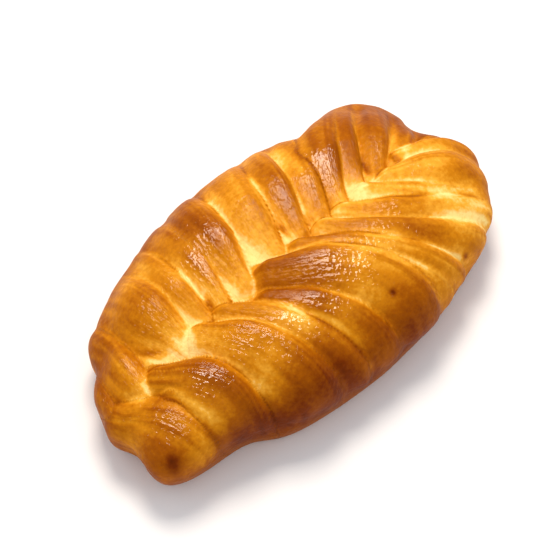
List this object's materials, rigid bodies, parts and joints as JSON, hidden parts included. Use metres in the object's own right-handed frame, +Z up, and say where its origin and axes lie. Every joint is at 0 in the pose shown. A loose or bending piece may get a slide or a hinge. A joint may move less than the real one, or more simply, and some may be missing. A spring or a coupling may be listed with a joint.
{
  "type": "blueberry bun",
  "caption": "Plaited blueberry bun of soft milk bread, folded from both sides to a wavy seam, baked golden with dark glossy crests and pale creases.",
  "frame": {"origin": "centre of the flat base, which rests on the plate or board", "axes": "+X towards the head, where the plait starts, -X towards the tail, +Y across the bun to the far row of folds, +Z up"},
  "size_m": [0.1702, 0.0971, 0.0439],
  "materials": {
    "baked_crust": "egg-washed crust, glossy on the browned crests and satin in the pale creases"
  },
  "bodies": {
    "root": {"bun": "baked_crust"}
  },
  "joints": []
}
